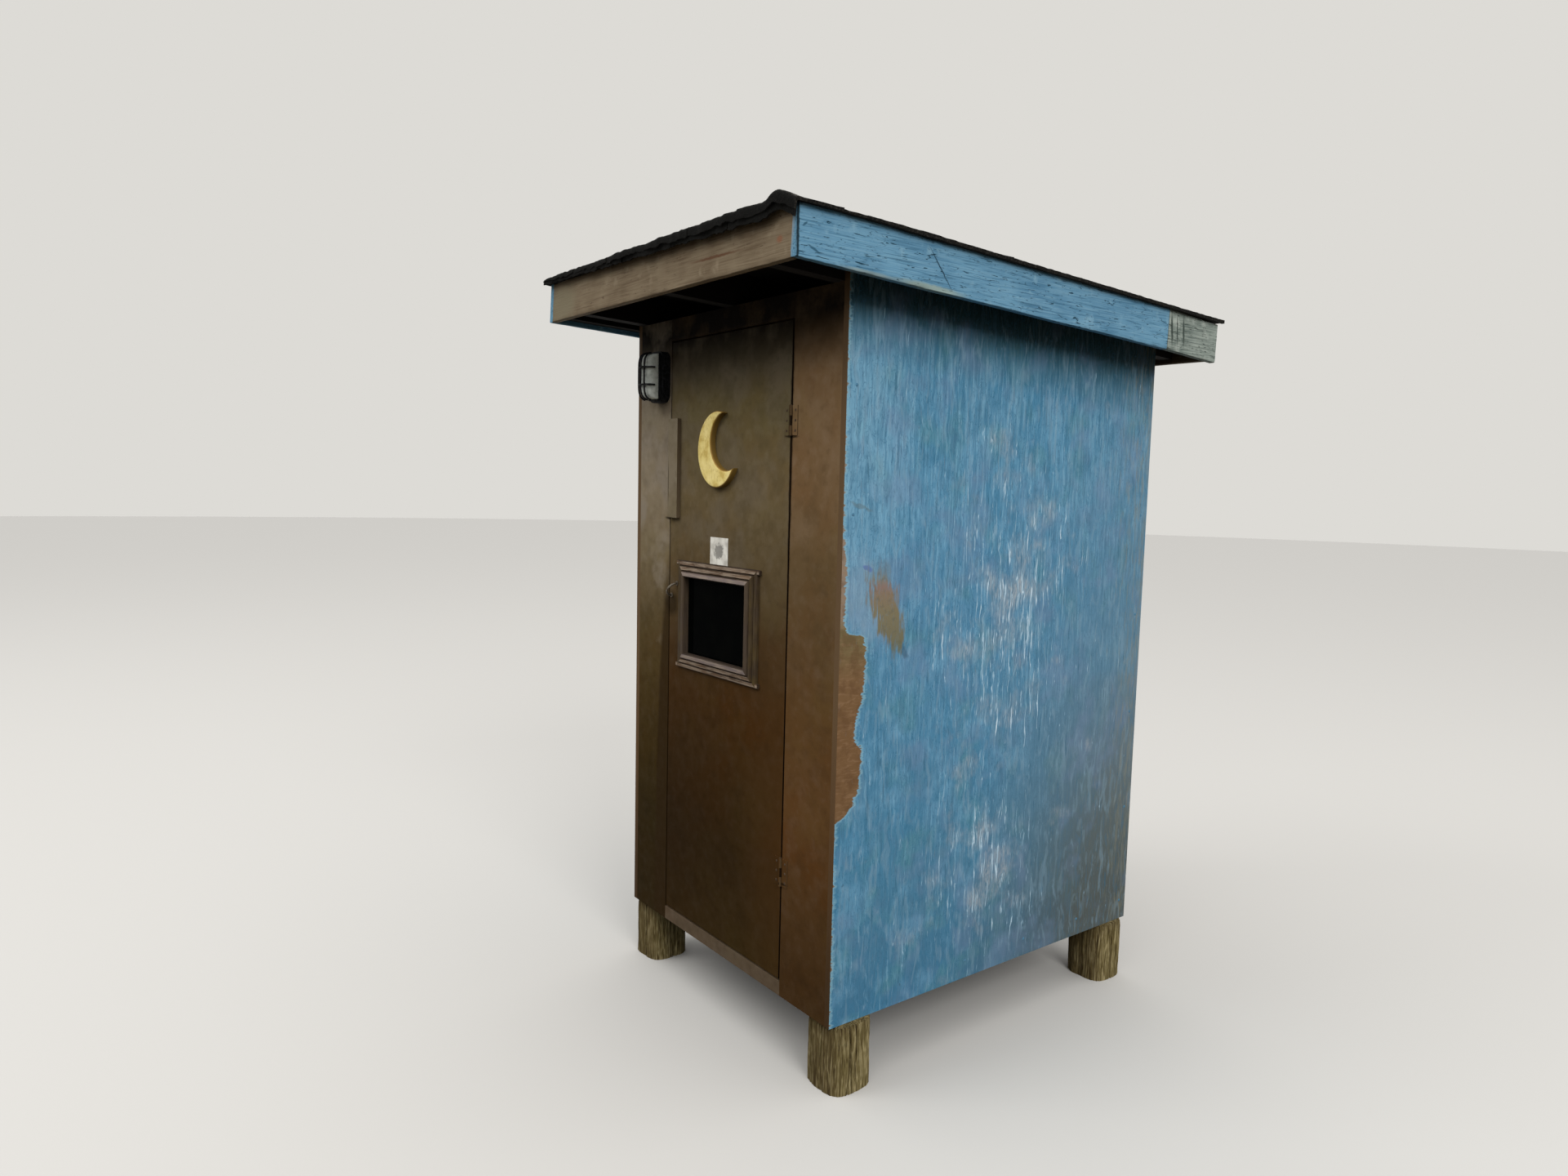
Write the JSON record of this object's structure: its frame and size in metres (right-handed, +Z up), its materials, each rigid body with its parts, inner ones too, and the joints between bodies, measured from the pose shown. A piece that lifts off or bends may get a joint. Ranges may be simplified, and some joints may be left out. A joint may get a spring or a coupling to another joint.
{
  "type": "plywood outhouse",
  "caption": "Small plywood outhouse on log piers: mono-pitch shingled roof, painted sheet walls, and a hinged door with a little window, a cut-out moon and a caged lamp beside it.",
  "frame": {"origin": "centre of the roof's outline in plan, at the level the piers stand on", "axes": "+Z up; the door faces -Y; +X to the right for someone facing the door"},
  "size_m": [1.256, 1.6322, 2.1336],
  "materials": {
    "log": "weathered debarked log, grey-brown with long cracks",
    "framing": "bare softwood framing, darkened with age",
    "floor_sheet": "bare plywood sheet, face grain showing",
    "blue_paint": "plywood and board with flaking steel-blue paint over grey grain",
    "brown_paint": "plywood and board with matt brown paint, faded and streaked",
    "trim_paint": "moulded timber with brown paint, worn pale on its ridges",
    "bare_board": "unpainted grey-green weathered board",
    "moon_paint": "wood cut-out with pale yellow paint",
    "shingle": "black mineral-faced asphalt shingles, ragged edges",
    "pane": "clear window glass, dark room behind",
    "painted_steel": "steel hinges under the brown door paint",
    "steel": "bent steel rod, dull zinc",
    "black_metal": "black painted cast lamp body",
    "lamp_glass": "ribbed clear glass, slightly dusty"
  },
  "bodies": {
    "cabin": {"pier_front_left": "log", "pier_front_right": "log", "pier_back_left": "log", "pier_back_right": "log", "rim_joists": "framing", "floor_joists": "framing", "floor": "floor_sheet", "corner_posts": "framing", "door_posts": "framing", "door_header": "framing", "back_plate": "framing", "side_plates": "framing", "wall_left": "blue_paint", "wall_right": "blue_paint", "wall_back": "brown_paint", "wall_front_left": "brown_paint", "wall_front_right": "brown_paint", "wall_front_head": "brown_paint", "door_sill": "brown_paint", "rafters": "framing", "barge_rafters": "framing", "roof_deck": "floor_sheet", "roof_shingles": "shingle", "fascia_front": "brown_paint", "fascia_back": "brown_paint", "fascia_left": "blue_paint", "fascia_right": "blue_paint", "fascia_patch": "bare_board", "hinge_post_leaves": "painted_steel", "hinge_pins": "painted_steel", "lamp_base": "black_metal", "lamp_glass": "lamp_glass", "lamp_cage": "black_metal"},
    "door": {"door_panel": "brown_paint", "door_ledges": "framing", "door_strip": "brown_paint", "door_pull": "steel", "moon": "moon_paint", "window_rails": "trim_paint", "window_stiles": "trim_paint", "window_pane": "pane", "window_inner_frame": "brown_paint", "hinge_door_leaves": "painted_steel"}
  },
  "joints": [
    {"name": "door_hinge", "type": "hinge", "parent": "cabin", "child": "door", "pos_m": [0.289, -0.5645, 1], "axis": [0, 0, 1], "range_deg": [0, 120]}
  ]
}
